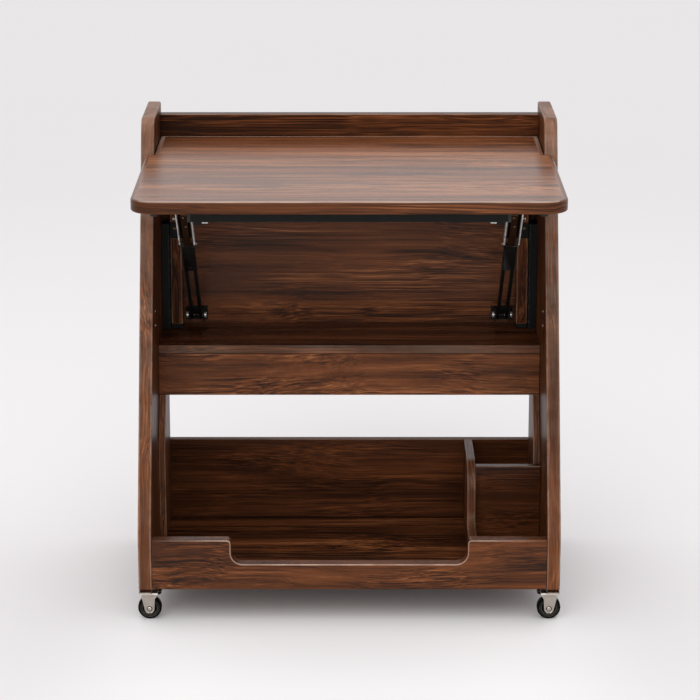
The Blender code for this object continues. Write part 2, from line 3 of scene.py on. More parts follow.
import bpy
import numpy as np
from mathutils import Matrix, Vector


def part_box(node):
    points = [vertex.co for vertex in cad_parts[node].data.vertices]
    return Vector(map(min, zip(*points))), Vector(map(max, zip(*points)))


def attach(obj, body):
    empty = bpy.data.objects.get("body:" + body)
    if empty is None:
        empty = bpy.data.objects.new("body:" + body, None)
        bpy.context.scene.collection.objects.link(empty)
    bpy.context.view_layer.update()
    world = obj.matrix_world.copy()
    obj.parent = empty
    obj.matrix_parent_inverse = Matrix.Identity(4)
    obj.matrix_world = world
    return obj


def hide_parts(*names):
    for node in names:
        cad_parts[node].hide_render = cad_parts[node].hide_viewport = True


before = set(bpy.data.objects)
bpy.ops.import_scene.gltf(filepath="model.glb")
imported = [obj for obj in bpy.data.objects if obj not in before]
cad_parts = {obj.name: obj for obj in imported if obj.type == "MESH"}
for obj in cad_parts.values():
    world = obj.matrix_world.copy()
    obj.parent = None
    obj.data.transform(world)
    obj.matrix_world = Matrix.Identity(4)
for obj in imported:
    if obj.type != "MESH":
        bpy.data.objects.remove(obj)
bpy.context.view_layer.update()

# Side panels
# Two A-shaped chipboards faced with printed walnut stand on the casters and carry all the rest.
# Their edges are banded in the same print and rounded over with a router.


LEAD = 0.00008
SHARPEST = 0.00005
ARC_POINTS = 9
CORNER_POINTS = ARC_POINTS + 2


def eased_outline(corners, insets):
    """Closed outline of straight edges and arcs, repeated further and further inwards.

    Each corner (u, v, radius) turns about a centre that lies radius / sin(half its angle) along its
    bisector. At an inset the points are centre + (radius - inset) * normal on an outer corner and
    centre - (radius + inset) * normal on an inner one, the normal turning from one edge to the next.
    A short straight lead on both sides of every arc keeps the flat faces flat under smooth shading.
    """
    corners = np.asarray(corners, float)
    insets = np.asarray(insets, float)[:, None, None]
    here = corners[:, :2]
    before = np.roll(here, 1, axis=0) - here
    after = np.roll(here, -1, axis=0) - here
    before /= np.linalg.norm(before, axis=1, keepdims=True)
    after /= np.linalg.norm(after, axis=1, keepdims=True)
    turning = before[:, 1] * after[:, 0] - before[:, 0] * after[:, 1]
    outer = np.where(turning > 0, 1.0, -1.0)[:, None]
    half_angle = np.arccos(np.clip((before * after).sum(axis=1), -1, 1))[:, None] / 2
    bisector = before + after
    bisector /= np.linalg.norm(bisector, axis=1, keepdims=True)
    radius = np.where(outer > 0, np.maximum(corners[:, 2:], insets + SHARPEST), corners[:, 2:])
    centre = here + bisector * radius / np.sin(half_angle)
    first = np.arctan2(before[:, 0], -before[:, 1])
    last = np.arctan2(-after[:, 0], after[:, 1])
    sweep = (last - first + np.pi) % (2 * np.pi) - np.pi
    angle = first[:, None] + sweep[:, None] * np.linspace(0, 1, ARC_POINTS)
    normal = np.stack([np.cos(angle), np.sin(angle)], axis=-1)
    arcs = centre[:, :, None] + (outer * radius - insets)[:, :, None] * normal
    lead_in = arcs[:, :, :1] + before[:, None] * LEAD
    lead_out = arcs[:, :, -1:] + after[:, None] * LEAD
    rows = np.concatenate([lead_in, arcs, lead_out], axis=2)
    return rows.reshape(len(rows), -1, 2)


def skin(rings, wear_and_highlight, looped=False):
    """Faces over rings of points, each ring joined to the next.

    The two ends are flat faces, or in a looped skin the last ring is joined to the first. Returns the
    points, the faces and how much each point lies on a marked edge, from 0 to 1: abrasion, and on
    some finishes a painted highlight.
    """
    rows, columns = rings.shape[:2]
    number = np.arange(rows * columns).reshape(rows, columns)
    onward = np.roll(number, -1, axis=1)
    above = np.roll(number, -1, axis=0)
    above_onward = np.roll(onward, -1, axis=0)
    quads = np.stack([number, onward, above_onward, above], axis=-1)
    quads = quads if looped else quads[:-1]
    faces = quads.reshape(-1, 4).tolist()
    if not looped:
        faces += [number[0, ::-1].tolist(), number[-1].tolist()]
    return rings.reshape(-1, 3), faces, np.broadcast_to(wear_and_highlight, (rows, columns)).reshape(-1)


WORN_AND_LIT_ARC = 0.8
WORN_AND_LIT_UP_TO = 0.004


def corner_wear_and_highlight(count):
    """Edge marks along an outline of rounded corners (abrasion, on some finishes painted highlight): the same
    on every arc, and none on the leads beside it.
    """
    return np.tile(np.concatenate([[0], np.full(ARC_POINTS, WORN_AND_LIT_ARC), [0]]), count)


def eased_bar(corners, low, high, arris, lead=LEAD):
    """An outline in (u, v) carried from w = low to w = high, with a quarter-round arris along both ends.

    On the arris the inset is arris * (1 - sin t) and the height arris * (1 - cos t), t from 0 to 90 degrees.
    The marking of the arris, abrasion and on some finishes painted highlight, runs on over the lead on the
    flat face beside it and then stops. Tight corners of the outline are marked as well.
    """
    turn = np.linspace(0, np.pi / 2, 6)
    inset = arris * (1 - np.sin(turn))
    rise = arris * (1 - np.cos(turn))
    face = [arris + lead + LEAD, arris + lead]
    insets = np.concatenate([face, inset, [0, 0], inset[::-1], face[::-1]])
    heights = np.concatenate([
        [low, low], low + rise, [low + arris + LEAD, high - arris - LEAD], high - rise[::-1], [high, high],
    ])
    worn_and_lit = np.sin(2 * turn) * 0.4 + 0.6
    wear_and_highlight = np.concatenate([[0, 0.6], worn_and_lit, [0, 0], worn_and_lit, [0.6, 0]])
    outline = eased_outline(corners, insets)
    rise = np.broadcast_to(heights[:, None, None], outline.shape[:2] + (1,))
    tight = np.repeat(np.asarray(corners)[:, 2], CORNER_POINTS) < WORN_AND_LIT_UP_TO
    rounded = corner_wear_and_highlight(len(corners)) * tight
    rounded = rounded * np.concatenate([[0], np.ones(len(heights) - 2), [0]])[:, None]
    return skin(np.concatenate([outline, rise], axis=2), np.maximum(wear_and_highlight[:, None], rounded))


LYING = {
    "X": np.array([[0, 0, 1], [1, 0, 0], [0, 1, 0]], float),
    "Y": np.array([[1, 0, 0], [0, 0, 1], [0, 1, 0]], float),
    "Z": np.eye(3),
}


def laid(shape, turn, place=(0, 0, 0)):
    """A shape in (u, v, w) turned by a 3 x 3 matrix and moved; a mirrored one has its faces turned."""
    points, faces, wear_and_highlight = shape
    if np.linalg.det(turn) < 0:
        faces = [face[::-1] for face in faces]
    return points @ np.asarray(turn).T + np.asarray(place), faces, wear_and_highlight


def fitted(name, shape, finish, slot, body, *nodes):
    """One piece of the desk: its mesh and finish, the body it moves with and the solids it stands for."""
    points, faces, wear_and_highlight = shape
    mesh = bpy.data.meshes.new(name)
    mesh.from_pydata(points.tolist(), [], faces)
    mesh.shade_smooth()
    worn_and_lit = mesh.attributes.new("worn_and_lit_edge", "FLOAT", "POINT")
    worn_and_lit.data.foreach_set("value", np.ascontiguousarray(wear_and_highlight, dtype=np.float32))
    mesh.materials.append(finish)
    piece = bpy.data.objects.new(name, mesh)
    bpy.context.scene.collection.objects.link(piece)
    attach(piece, body)
    if nodes:
        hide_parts(*nodes)
    return piece


class Signal:
    """One output of a shader node. Sums and products of signals add Math nodes to the same material."""

    def __init__(self, tree, socket):
        self.tree = tree
        self.socket = socket

    def node(self, kind, settings, values, output=0):
        """Any node, with its settings made first, then the values or links of its sockets."""
        made = self.tree.nodes.new(kind)
        for key, value in settings.items():
            if key == "stops":
                places = [place for place, colour in value]
                made.color_ramp.elements[0].position = places[0]
                made.color_ramp.elements[1].position = places[-1]
                for place in places[1:-1]:
                    made.color_ramp.elements.new(place)
                for element, (place, colour) in zip(made.color_ramp.elements, value):
                    element.color = (*colour, 1.0)
            else:
                setattr(made, key, value)
        for key, value in values.items():
            if isinstance(value, Signal):
                self.tree.links.new(value.socket, made.inputs[key])
            else:
                made.inputs[key].default_value = value
        return Signal(self.tree, made.outputs[output])

    def math(self, operation, first, second=0.0):
        """One Math node."""
        return self.node("ShaderNodeMath", {"operation": operation}, {0: first, 1: second})

    def __add__(self, other):
        return self.math("ADD", self, other)

    def __radd__(self, other):
        return self.math("ADD", other, self)

    def __sub__(self, other):
        return self.math("SUBTRACT", self, other)

    def __rsub__(self, other):
        return self.math("SUBTRACT", other, self)

    def __mul__(self, other):
        return self.math("MULTIPLY", self, other)

    def __rmul__(self, other):
        return self.math("MULTIPLY", other, self)

    def __pow__(self, other):
        return self.math("POWER", self, other)

    def __rpow__(self, other):
        return self.math("POWER", other, self)

    def between(self, low, high):
        """0 below low, 1 above high and a smooth step from one to the other."""
        settings = {"interpolation_type": "SMOOTHSTEP"}
        return self.node("ShaderNodeMapRange", settings, {"Value": self, "From Min": low, "From Max": high})

    def noise(self, stretch, detail, roughness):
        """Fractal noise over this place, each axis stretched by its own number of waves per metre."""
        waves = self.node("ShaderNodeVectorMath", {"operation": "MULTIPLY"}, {0: self, 1: stretch})
        values = {"Vector": waves, "Scale": 1.0, "Detail": detail, "Roughness": roughness}
        return self.node("ShaderNodeTexNoise", {"noise_dimensions": "3D"}, values)

    def mixed(self, first, second):
        """Two colours mixed by this signal."""
        return self.node("ShaderNodeMix", {"data_type": "RGBA"}, {0: self, 6: first, 7: second}, 2)

    def into(self, socket):
        """Feeds one socket of the material's shader."""
        self.tree.links.new(self.socket, self.tree.nodes["Principled BSDF"].inputs[socket])

    def raises(self, depth, strength):
        """Height of a fine relief, as a bump on the shader's normal."""
        values = {"Height": self, "Distance": depth, "Strength": strength}
        self.node("ShaderNodeBump", {}, values).into("Normal")


def finish_of(name, **sockets):
    """A new material with plain values on its shader, and the place on the piece that its patterns follow."""
    made = bpy.data.materials.new(name)
    made.use_nodes = True
    shader = made.node_tree.nodes["Principled BSDF"]
    for key, value in sockets.items():
        shader.inputs[key.replace("_", " ")].default_value = value
    place = made.node_tree.nodes.new("ShaderNodeTexCoord")
    return made, Signal(made.node_tree, place.outputs["Object"])


GRAIN_TURN = {"X": (0, 1, 2), "Z": (2, 0, 1)}


def walnut_board(
    name, grain, shift, depth=0.0, contrast=1.0, banded=False, rub_and_highlight=0.5, gloss=0.27, coat=0.0, run=1.0,
    sheen=1.25, fade=None,
):
    """Printed dark walnut, its grain along one axis.

    The place across the grain is bent by a slow noise, far enough to close some lines into arches, and
    by a finer ripple. Noises stretched along the bent grain give bands, streaks, lines and fibres, and
    their sum picks the tone. On a banded edge the grain turns to run along the edge.

    A greater depth is a darker print, and a run below 1 draws its figure out along the grain. Rub is how
    pale a marked edge goes: abrasion, and a painted highlight along the arrises. A banded edge without a
    coat is also paled a little, a painted sheen. Gloss is the film's roughness, sheen its refractive
    index, and coat a lacquer on the faces. Fade is (axis, start, end, amount): a change of tone across
    the board.
    """
    made, place = finish_of(name, IOR=sheen, Coat_Roughness=0.28)
    moved = place.node("ShaderNodeVectorMath", {"operation": "ADD"}, {0: place, 1: shift})
    axes = [place.node("ShaderNodeSeparateXYZ", {}, {0: moved}, axis) for axis in GRAIN_TURN[grain]]
    if banded:
        band = place.node("ShaderNodeAttribute", {"attribute_name": "edge_band"}, {}, "Fac")
        inwards = GRAIN_TURN[grain].index(1)
        axes[0] = axes[0] + axes[inwards] * band
        axes[inwards] = axes[inwards] * (1 - band)
    axes[0] = axes[0] * run
    straight = place.node("ShaderNodeCombineXYZ", {}, {0: axes[0], 1: axes[1], 2: axes[2]})
    bend = straight.noise((1.7, 8.5, 8.5), 1.0, 0.4) - 0.5
    roll = straight.noise((4.5, 6.0, 6.0), 1.0, 0.5) - 0.5
    ripple = straight.noise((13.0, 11.0, 11.0), 1.0, 0.5) - 0.5
    swerve = bend * 0.085 + roll * 0.032 + ripple * 0.007
    bent = {0: axes[0], 1: axes[1] + swerve, 2: axes[2] + swerve * 0.8}
    wavy = place.node("ShaderNodeCombineXYZ", {}, bent)
    bands = wavy.noise((2.4, 42.0, 42.0), 2.0, 0.5) - 0.5
    stripes = wavy.noise((5.0, 120.0, 120.0), 2.0, 0.55) - 0.5
    streaks = wavy.noise((8.0, 260.0, 260.0), 2.0, 0.6) - 0.5
    lines = wavy.noise((6.5, 560.0, 560.0), 1.0, 0.6) - 0.5
    dashes = wavy.noise((16.0, 800.0, 800.0), 1.0, 0.6) - 0.5
    fibres = wavy.noise((50.0, 1500.0, 1500.0), 2.0, 0.6) - 0.5
    cloud = straight.noise((4.0, 16.0, 16.0), 2.0, 0.5) - 0.5
    busy = straight.noise((5.0, 26.0, 26.0), 1.0, 0.5).between(0.36, 0.62) * 0.75 + 0.35
    fine = streaks * 0.60 + lines * 1.10 + dashes * 0.60 + fibres * 0.35
    tone = (bands + stripes * 0.38 + cloud * 0.55 + fine * busy) * contrast + (0.5 - depth)
    if coat:
        tone = tone - band * 0.25
    if fade:
        axis, start, end, amount = fade
        tone = tone + place.node("ShaderNodeSeparateXYZ", {}, {0: place}, axis).between(start, end) * amount
    stops = [
        (0.06, (0.025, 0.0085, 0.0038)), (0.26, (0.065, 0.0205, 0.0074)), (0.46, (0.131, 0.0410, 0.0138)),
        (0.64, (0.212, 0.0690, 0.0235)), (0.80, (0.310, 0.1100, 0.0400)), (0.96, (0.430, 0.1750, 0.0720)),
    ]
    colour = place.node("ShaderNodeValToRGB", {"stops": stops}, {"Fac": tone})
    black_lines = wavy.noise((3.2, 125.0, 125.0), 3.0, 0.55).between(0.56, 0.66) * (0.50 * contrast)
    colour = black_lines.mixed(colour, (0.019, 0.0088, 0.0054, 1.0))
    thin_lines = wavy.noise((7.0, 400.0, 400.0), 1.0, 0.5).between(0.58, 0.65) * busy * (0.68 * contrast)
    colour = thin_lines.mixed(colour, (0.020, 0.0098, 0.0064, 1.0))
    pores = wavy.noise((80.0, 2300.0, 2300.0), 1.0, 0.5).between(0.60, 0.70) * 0.35
    colour = pores.mixed(colour, (0.014, 0.0070, 0.0048, 1.0))
    edge = place.node("ShaderNodeAttribute", {"attribute_name": "worn_and_lit_edge"}, {}, "Fac")
    # A banded edge without a coat is paled a little all over: painted sheen.
    if banded and not coat:
        edge = place.math("MAXIMUM", edge, band * 0.14)
    # Marked edges turn pale: abrasion, and a painted highlight along the arrises.
    rubbed_and_highlit = edge * (straight.noise((25.0, 25.0, 25.0), 3.0, 0.6).between(0.35, 0.65) * 0.5 + 0.5) * rub_and_highlight
    colour = rubbed_and_highlit.mixed(colour, (0.62, 0.430, 0.330, 1.0))
    colour.into("Base Color")
    (fibres * 0.12 + cloud * 0.10 - rubbed_and_highlit * 0.06 + gloss).into("Roughness")
    if coat:
        ((1 - band) * coat).into("Coat Weight")
    (fibres * 0.5 + lines * 0.6 - pores * 0.8).raises(0.00010, 0.30)
    return made


def edge_banded(piece):
    """Marks the banded edge of a flat board: every point but the two rings around each of its faces."""
    ring = len(piece.data.polygons[-1].vertices)
    band = np.ones(len(piece.data.vertices), np.float32)
    band[:2 * ring] = 0
    band[-2 * ring:] = 0
    piece.data.attributes.new("edge_band", "FLOAT", "POINT").data.foreach_set("value", band)


walnut_panel = walnut_board(
    "walnut_panel", "Z", (0.21, 0.12, 0.07), 0.10, banded=True, rub_and_highlight=0.42, gloss=0.36, sheen=1.12,
)
PANEL_ARRIS = 0.0022
EAR_FRONT = 0.0979
KINK_HEIGHT = 0.121
EARS_FROM = 0.61
EAR_HIGHLIGHT = 0.7
for side in ("left", "right"):
    low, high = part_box(f"{side}_side_panel")
    shape = eased_bar([
        (low.y, low.z, 0.004), (high.y, low.z, 0.004), (high.y, high.z, 0.004),
        (EAR_FRONT, high.z, 0.018), (low.y, KINK_HEIGHT, 0.040),
    ], low.x, high.x, PANEL_ARRIS)
    points, faces, wear_and_highlight = laid(shape, LYING["X"])
    # The banded rim of the ears, above EARS_FROM, is marked as well: a painted highlight on the ears.
    rim = (points[:, 0] > low.x + PANEL_ARRIS / 2) & (points[:, 0] < high.x - PANEL_ARRIS / 2)
    shape = points, faces, np.maximum(wear_and_highlight, EAR_HIGHLIGHT * rim * (points[:, 2] > EARS_FROM))
    board = fitted(f"{side}_panel_board", shape, walnut_panel, "walnut", "frame", f"{side}_side_panel")
    edge_banded(board)

# Gallery rail and open compartment
# A low rail between the ears stops things rolling off the back, and a back board, a shelf and a deep
# front apron make the open compartment. All are the same printed board, dowelled between the panels.


def squared(near, down, far, up, rounding):
    """The four corners of a rectangle in (u, v), all rounded alike."""
    return [(near, down, rounding), (far, down, rounding), (far, up, rounding), (near, up, rounding)]


SAWN_ARRIS = 0.0003
HIGHLIGHT_TOP = 0.0009


def cross_board(node, arris, finish, worn_and_lit=1.0, front=0.0):
    """A board from panel to panel: its eased section carried along X, marked along its top with abrasion and
    painted highlight, and on its front face with a painted sheen.
    """
    low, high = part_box(node)
    section = squared(low.y, low.z, high.y, high.z, arris)
    points, faces, wear_and_highlight = laid(eased_bar(section, low.x, high.x, SAWN_ARRIS), LYING["X"])
    wear_and_highlight = wear_and_highlight * worn_and_lit * (points[:, 2] > high.z - HIGHLIGHT_TOP)
    wear_and_highlight = np.maximum(wear_and_highlight, front * (points[:, 1] < low.y + SAWN_ARRIS))
    fitted(f"{node}_board", (points, faces, wear_and_highlight), finish, "walnut", "frame", node)


walnut_gallery = walnut_board("walnut_gallery", "X", (0.83, 0.31, 0.17), 0.25, 0.95, run=0.6, sheen=1.13)
cross_board("gallery_rail", 0.0016, walnut_gallery, 0.9)
# The back is printed darker towards its bottom, below 0.40 m: painted shade along its foot.
walnut_back = walnut_board("walnut_back", "X", (0.0, 0.0, 0.0), 0.19, run=0.7, fade=(2, 0.330, 0.400, 0.15))
cross_board("compartment_back_panel", 0.0005, walnut_back, 0.3)
walnut_shelf = walnut_board("walnut_shelf", "X", (0.37, 0.44, 0.63), 0.09, 1.25, rub_and_highlight=0.4, run=0.5, sheen=1.15)
# The shelf's pale front face is a painted sheen.
cross_board("compartment_shelf", 0.0016, walnut_shelf, 1.0, 0.42)
walnut_lengthways = walnut_board("walnut_lengthways", "X", (0.0, 0.0, 0.0), 0.03)
cross_board("compartment_apron", 0.0010, walnut_lengthways, 0.0)

# Lower tray
# A floor, a low back between two uprights, a front rail with a hand notch, a partition and a pocket
# board divide the tray. They are the same board, screwed and dowelled to the panels and to each other.

# The tray floor is printed darker towards the rear, under the shelf and apron: painted shade.
walnut_floor = walnut_board(
    "walnut_floor", "X", (0.66, 0.19, 0.52), -0.13, 1.35, run=0.5, sheen=1.12, fade=(1, -0.12, 0.20, -0.32),
)
cross_board("lower_shelf", 0.0005, walnut_floor, 0.0)
# The shaded and pocket finishes are darker, calmer copies of the print for the low back and the pocket board
# in the tray: painted shade.
walnut_shaded = walnut_board(
    "walnut_shaded", "X", (0.57, 0.23, 0.41), 0.27, 0.70, rub_and_highlight=0.35, run=0.6, sheen=1.15,
)
cross_board("lower_back_panel", 0.0018, walnut_shaded)
walnut_pocket = walnut_board("walnut_pocket", "X", (0.27, 0.73, 0.22), 0.22, 0.60, rub_and_highlight=0.4)
cross_board("pocket_front", 0.0018, walnut_pocket)

SHOULDER = 0.069
APRON_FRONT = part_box("compartment_apron")[0].y
for side in ("left", "right"):
    low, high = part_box(f"{side}_inner_upright")
    shape = eased_bar([
        (low.y, low.z, 0.0015), (high.y, low.z, 0.0015), (high.y, high.z, 0.0015),
        (APRON_FRONT, high.z, 0.0015), (low.y, high.z - SHOULDER, 0.020),
    ], low.x, high.x, 0.0014)
    shape = laid(shape, LYING["X"])
    board = fitted(f"{side}_upright_board", shape, walnut_panel, "walnut", "frame", f"{side}_inner_upright")
    edge_banded(board)

NOTCH_HALF = 0.160
NOTCH_DEPTH = 0.034
low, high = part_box("lower_front_rail")
floor_of_notch = high.z - NOTCH_DEPTH
shape = eased_bar([
    (low.x, low.z, 0.0003), (high.x, low.z, 0.0003), (high.x, high.z, 0.0003),
    (NOTCH_HALF, high.z, 0.005), (NOTCH_HALF, floor_of_notch, 0.016),
    (-NOTCH_HALF, floor_of_notch, 0.016), (-NOTCH_HALF, high.z, 0.005), (low.x, high.z, 0.0003),
], low.y, high.y, 0.0014)
points, faces, wear_and_highlight = laid(shape, LYING["Y"])
NO_HIGHLIGHT_RIM = 0.003
# The painted highlight on the rail's edges stops short of the panels and of its bottom edge.
wear_and_highlight = wear_and_highlight * (np.abs(points[:, 0]) < high.x - NO_HIGHLIGHT_RIM) * (points[:, 2] > low.z + NO_HIGHLIGHT_RIM)
walnut_rail = walnut_board("walnut_rail", "X", (0.14, 0.52, 0.33), 0.11, 0.95, rub_and_highlight=1.0)
fitted("front_rail_board", (points, faces, wear_and_highlight), walnut_rail, "walnut", "frame", "lower_front_rail")

PARTITION_FRONT = 0.030
LOW_WALL = 0.088
low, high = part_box("partition")
shape = eased_bar([
    (low.y, low.z, 0.0005), (high.y, low.z, 0.0005), (high.y, high.z, 0.0005),
    (PARTITION_FRONT, high.z, 0.035), (PARTITION_FRONT, LOW_WALL, 0.020), (low.y, LOW_WALL, 0.004),
], low.x, high.x, 0.0018)
walnut_wall = walnut_board("walnut_wall", "Z", (0.48, 0.36, 0.11), 0.16, banded=True, rub_and_highlight=0.25, gloss=0.36)
edge_banded(fitted("partition_board", laid(shape, LYING["X"]), walnut_wall, "walnut", "frame", "partition"))

# Vertical slides
# A lipped channel of black coated steel is screwed to each panel inside the compartment, and a flat
# runner slides in it and carries the wooden post of the lifting top.


def coated_steel(name, colour, shine):
    """Powder-coated steel: orange-peel relief, slow dust in the shine, bare metal in patches on marked edges.
    """
    made, place = finish_of(name, IOR=1.22)
    peel = place.noise((900.0, 900.0, 900.0), 2.0, 0.5)
    dust = place.noise((60.0, 60.0, 60.0), 4.0, 0.6)
    scuffs = place.noise((220.0, 220.0, 900.0), 3.0, 0.6)
    edge = place.node("ShaderNodeAttribute", {"attribute_name": "worn_and_lit_edge"}, {}, "Fac")
    bare = edge * scuffs.between(0.50, 0.68) * 0.6
    pale = tuple(1.8 * part + 0.006 for part in colour)
    coat = (dust.between(0.45, 0.75) * 0.35).mixed((*colour, 1.0), (*pale, 1.0))
    bare.mixed(coat, (0.16, 0.155, 0.15, 1.0)).into("Base Color")
    (dust * 0.16 + shine - bare * 0.10).into("Roughness")
    (bare * 0.9).into("Metallic")
    (peel + scuffs * 0.4).raises(0.00006, 0.5)
    return made


def plated_steel(name, colour, shine, metal=1.0):
    """Zinc or nickel plate: fine drawn lines, cloudy spangle and darker spots where it has dulled."""
    made, place = finish_of(name, Metallic=metal)
    drawn = place.noise((500.0, 500.0, 2600.0), 3.0, 0.6)
    spangle = place.noise((180.0, 180.0, 180.0), 3.0, 0.55)
    dull = place.noise((75.0, 75.0, 75.0), 4.0, 0.65).between(0.50, 0.80)
    deep = tuple(0.78 * part for part in colour)
    tone = spangle.mixed((*deep, 1.0), (*colour, 1.0))
    (dull * 0.30).mixed(tone, tuple(0.45 * part for part in colour) + (1.0,)).into("Base Color")
    (drawn * 0.12 + dull * 0.16 + shine).into("Roughness")
    (drawn + spangle * 0.5).raises(0.00003, 0.4)
    return made


black_coat = coated_steel("black_coat", (0.0075, 0.0075, 0.0068), 0.36)
zinc_plate = plated_steel("zinc_plate", (0.80, 0.79, 0.77), 0.24, 0.45)


def screw_head(radius, height, slots):
    """A domed screw head with one or two crossed slots, standing on w = 0.

    Over the radius r the height is height * (1 - 0.6 (r / R)^2), less a slot as deep as half the
    height wherever the place is within a seventh of R of a slot's line.
    """
    ratio = np.concatenate([[1.0, 1.0], np.linspace(0.985, 0.06, 18)])[:, None]
    angle = np.linspace(0, 2 * np.pi, 48, endpoint=False)[None]
    u = radius * ratio * np.cos(angle)
    v = radius * ratio * np.sin(angle)
    dome = height * (1 - 0.6 * ratio ** 2) * (np.arange(20)[:, None] > 0)
    cut = np.zeros_like(u)
    for turn in np.arange(slots) * np.pi / 2 + 0.5:
        off = np.abs(v * np.cos(turn) - u * np.sin(turn)) / radius
        reach = np.abs(u * np.cos(turn) + v * np.sin(turn)) / radius
        cut = np.maximum(cut, np.clip((0.2 - off) / 0.07, 0, 1) * np.clip((0.78 - reach) / 0.08, 0, 1))
    w = dome - cut * height * 0.5 * (np.arange(20)[:, None] > 1)
    return skin(np.stack([u, v, w], axis=-1), np.clip(ratio ** 6, 0, 1) * 0.5)


def together(*shapes):
    """Several closed shapes as one piece."""
    points, face_lists, wears = zip(*shapes)
    starts = np.cumsum([0] + [len(part) for part in points])
    faces = [[corner + start for corner in face] for part, start in zip(face_lists, starts) for face in part]
    return np.concatenate(points), faces, np.concatenate(wears)


def facing(direction):
    """The turn that lays w along a direction."""
    w = np.asarray(direction, float)
    w = w / np.linalg.norm(w)
    u = np.cross((0.0, 0.0, 1.0) if abs(w[2]) < 0.9 else (0.0, 1.0, 0.0), w)
    u /= np.linalg.norm(u)
    return np.stack([u, np.cross(w, u), w], axis=1)


SLIDE_WALL = 0.0015
SLIDE_SLOT = 0.012
RUNNER_NECK = 0.0055
RUNNER_HEAD = 0.0078
PANEL_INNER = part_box("right_side_panel")[0].x
SCREWS_Y = 0.0455
SCREW_HEIGHTS = (0.373, 0.393)
for side, sign in (("left", -1), ("right", 1)):
    low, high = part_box(f"{side}_slide_rail")
    back = high.x if sign > 0 else -low.x
    depth = high.x - low.x
    middle = (low.y + high.y) / 2
    half = (high.y - low.y) / 2
    off = np.array([0, depth, depth, depth - SLIDE_WALL, depth - SLIDE_WALL, SLIDE_WALL])
    along = np.array([half, half, SLIDE_SLOT / 2, SLIDE_SLOT / 2, half - SLIDE_WALL, half - SLIDE_WALL])
    round_by = np.array([0.0004, 0.0022, 0.0005, 0.0005, 0.0008, 0.0008])
    front = np.stack([back - off, middle - along, round_by], axis=1)
    rear = np.stack([back - off, middle + along, round_by], axis=1)[::-1]
    shape = eased_bar(np.concatenate([front, rear])[::-1], low.z, high.z, 0.0003)
    shape = laid(shape, np.diag([sign, 1.0, 1.0]))
    fitted(f"{side}_slide_channel", shape, black_coat, "black_steel", "frame", f"{side}_slide_rail")
    heads = [
        laid(screw_head(0.0017, 0.0009, 2), facing((-sign, 0, 0)), (sign * PANEL_INNER, SCREWS_Y, z))
        for z in SCREW_HEIGHTS
    ]
    fitted(f"{side}_panel_screws", together(*heads), zinc_plate, "bright_steel", "frame")

    low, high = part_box(f"{side}_slide_runner")
    outer = high.x if sign > 0 else -low.x
    inner = low.x if sign > 0 else -high.x
    half = (high.y - low.y) / 2
    shoulder = outer - RUNNER_HEAD
    runner = [
        (inner, middle + RUNNER_NECK, 0.0006), (inner, middle - RUNNER_NECK, 0.0006),
        (shoulder, middle - RUNNER_NECK, 0.0006), (shoulder, middle - half, 0.0012),
        (outer, middle - half, 0.0012), (outer, middle + half, 0.0012),
        (shoulder, middle + half, 0.0012), (shoulder, middle + RUNNER_NECK, 0.0006),
    ]
    shape = laid(eased_bar(runner, low.z, high.z, 0.0003), np.diag([sign, 1.0, 1.0]))
    fitted(f"{side}_runner_bar", shape, black_coat, "black_steel", "top", f"{side}_slide_runner")

# Desktop
# One T-shaped board: narrow between the ears, wide in front of the panels, with large front corners.
# The print runs across it, and a painted highlight along the top of the rounded front and rear edges shows as
# a thin bright line.

STEP_Y = 0.07215
NARROW_HALF = 0.266
TOP_ARRIS = 0.0024
TOP_BORDER = 0.0042
low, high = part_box("desktop")
shape = eased_bar([
    (low.x, low.y, 0.030), (high.x, low.y, 0.030), (high.x, STEP_Y, 0.003), (NARROW_HALF, STEP_Y, 0.0005),
    (NARROW_HALF, high.y, 0.0005), (-NARROW_HALF, high.y, 0.0005), (-NARROW_HALF, STEP_Y, 0.0005),
    (low.x, STEP_Y, 0.003),
], low.z, high.z, TOP_ARRIS, TOP_BORDER)
walnut_top = walnut_board(
    "walnut_top", "X", (0.42, 0.61, 0.29), -0.15, 1.15, banded=True, rub_and_highlight=0.85, coat=0.25, run=0.45,
    fade=(1, 0.10, 0.20, -0.12),
)
points, faces, wear_and_highlight = shape
HIGHLIGHT_REACH = 0.008
UPPER_EDGE = 0.0007
END_HIGHLIGHT = 1.5
SIDE_HIGHLIGHT = 0.12
# Painted highlight: the edge marks are kept only along the top, strong near the front and rear edges and
# faint along the sides.
ends = (points[:, 1] > high.y - HIGHLIGHT_REACH) | (points[:, 1] < low.y + HIGHLIGHT_REACH)
wear_and_highlight = wear_and_highlight * (points[:, 2] > high.z - UPPER_EDGE) * np.where(ends, END_HIGHLIGHT, SIDE_HIGHLIGHT)
shape = points, faces, np.minimum(wear_and_highlight, 1)
edge_banded(fitted("desktop_board", shape, walnut_top, "walnut", "top", "desktop"))

# Posts of the lifting top
# Each runner carries a wooden post on a black foot. A black steel angle with one screw joins the post
# to a wooden cleat, which is glued and screwed up into the desktop.

